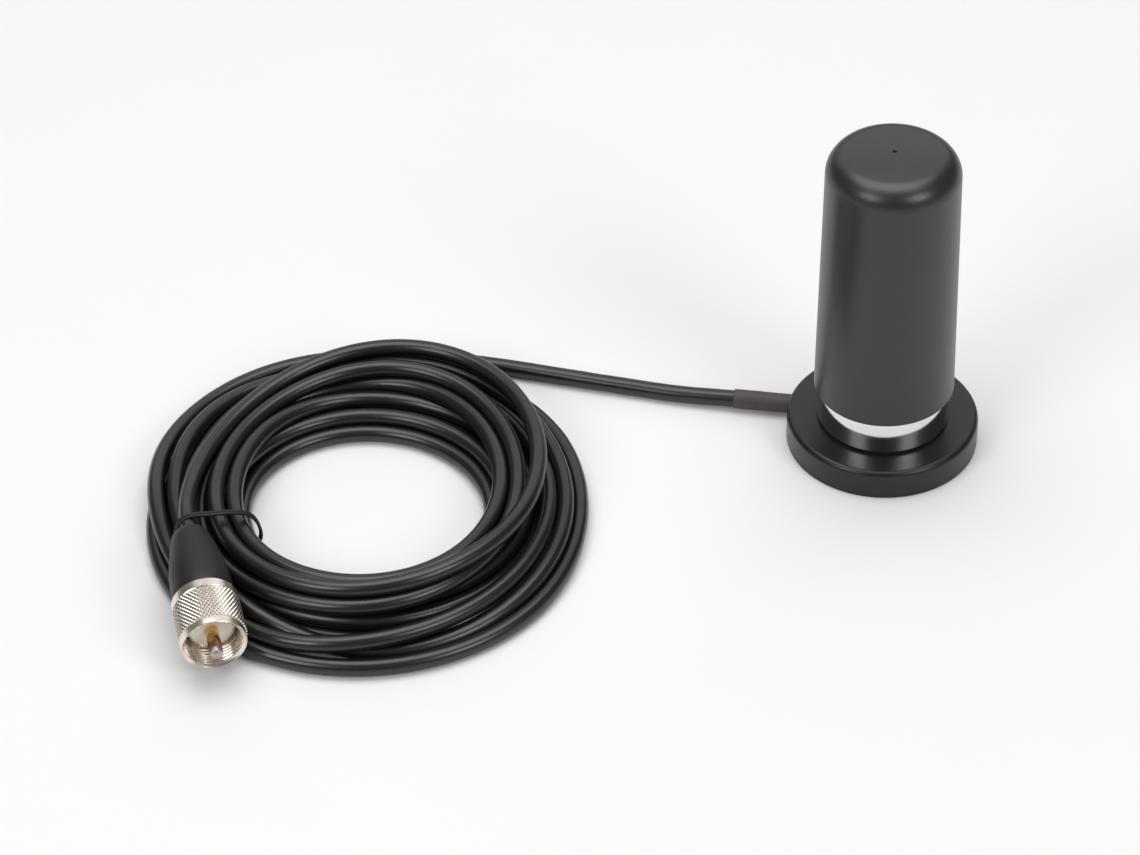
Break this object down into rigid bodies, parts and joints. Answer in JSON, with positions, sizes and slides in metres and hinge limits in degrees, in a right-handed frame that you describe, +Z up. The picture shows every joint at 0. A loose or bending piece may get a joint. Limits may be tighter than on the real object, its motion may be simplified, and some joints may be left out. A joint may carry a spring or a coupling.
{
  "type": "mobile antenna",
  "caption": "Low-profile mobile antenna: screw-on radome with a bright neck on a magnetic disc base, with a coiled coaxial lead and a screw-on coax plug.",
  "frame": {"origin": "centre of the underside of the magnetic base, on the surface it stands on", "axes": "+Z up along the antenna, -X the side where the lead leaves the base, +Y away from the side where the plug lies"},
  "size_m": [0.2433, 0.1394, 0.1024],
  "materials": {
    "painted_cup": "semi-gloss black paint",
    "base_pad": "matt",
    "magnet": "sintered ferrite",
    "steel": "plain",
    "plated_brass": "machined",
    "bright_neck": "polished",
    "plug_nickel": "warm nickel plate",
    "pin_gold": "gold over brass, soldered tip",
    "white_plastic": "moulded",
    "radome_plastic": "satin moulded black",
    "cable_jacket": "smooth satin jacket",
    "heat_shrink": "matt",
    "boot_rubber": "satin",
    "seal_rubber": "matt",
    "braid": "tinned copper braid",
    "board_green": "solder mask",
    "copper": "copper wire",
    "trimmer_orange": "moulded",
    "foam": "open foam"
  },
  "bodies": {
    "base": {"base_cup": "painted_cup", "base_pad": "base_pad", "ring_magnet": "magnet", "hub_pole": "steel", "mount_stem": "plated_brass", "threaded_collar": "plated_brass", "mount_insulator": "white_plastic", "mount_contact": "plated_brass", "solder_lug": "plated_brass", "cable_braid": "braid", "cable_core": "white_plastic", "heat_shrink_sleeve": "heat_shrink", "cable_run": "cable_jacket", "cable_coil": "cable_jacket", "coil_tie": "boot_rubber", "cable_tail": "cable_jacket", "plug_boot": "boot_rubber", "plug_shell": "plug_nickel", "plug_reducer": "plug_nickel", "plug_insulator": "white_plastic", "plug_pin": "pin_gold"},
    "seal": {"seal_ring": "seal_rubber"},
    "antenna": {"neck_ring": "bright_neck", "radome": "radome_plastic", "insulator_disc": "white_plastic", "contact_housing": "plated_brass", "contact_spring": "steel", "feed_board": "board_green", "board_screws": "steel", "trimmer_capacitor": "trimmer_orange", "matching_coil": "copper", "radiator_former": "white_plastic", "former_plug": "white_plastic", "radiator_wire_coil": "copper", "top_disc": "plated_brass", "top_screw": "steel", "foam_spacer": "foam"},
    "plunger": {"contact_plunger": "plated_brass"},
    "coupling": {"coupling_ring": "plug_nickel"}
  },
  "joints": [
    {"name": "head_lift", "type": "slide", "parent": "base", "child": "seal", "axis": [0, 0, 1], "range_m": [0, 0.0055]},
    {"name": "head_unscrew", "type": "hinge", "parent": "seal", "child": "antenna", "pos_m": [0, 0, 0.0137], "axis": [0, 0, 1], "range_deg": [0, 1440]},
    {"name": "contact_travel", "type": "slide", "parent": "antenna", "child": "plunger", "axis": [0, 0, 1], "range_m": [0, 0.0008], "stiffness_N_per_m": 400, "springref_m": -0.002, "deforming": ["contact_spring"]},
    {"name": "ring_turn", "type": "hinge", "parent": "base", "child": "coupling", "pos_m": [-0.18911, -0.0893, 0.01402], "axis": [0.2143, -0.9746, -0.0645], "continuous": true}
  ],
  "couplings": [
    {"joint": "head_unscrew", "follows": "head_lift", "rad_per_m": 4452.6}
  ]
}
